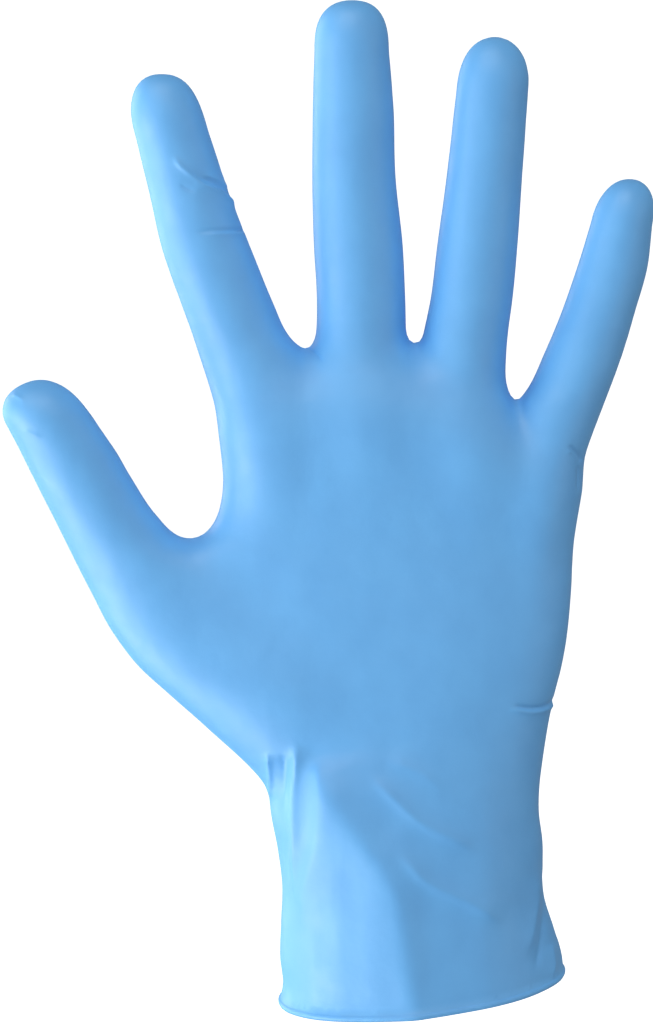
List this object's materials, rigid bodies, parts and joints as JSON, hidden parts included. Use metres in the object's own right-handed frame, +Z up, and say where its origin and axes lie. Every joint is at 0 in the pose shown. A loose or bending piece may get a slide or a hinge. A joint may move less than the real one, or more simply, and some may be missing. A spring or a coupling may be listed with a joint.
{
  "type": "disposable glove",
  "caption": "Thin disposable glove in its worn form, fingers spread, hollow and open at a cuff with a rolled edge.",
  "frame": {"origin": "middle of the cuff's opening, where the wrist goes in", "axes": "+Z up the hand to the middle fingertip, -Y out of the palm, -X towards the thumb, +X towards the little finger"},
  "size_m": [0.156, 0.0459, 0.2438],
  "materials": {
    "nitrile": "light blue dipped nitrile film, satin, faintly see-through where it is thin"
  },
  "bodies": {
    "root": {"glove": "nitrile"}
  },
  "joints": []
}
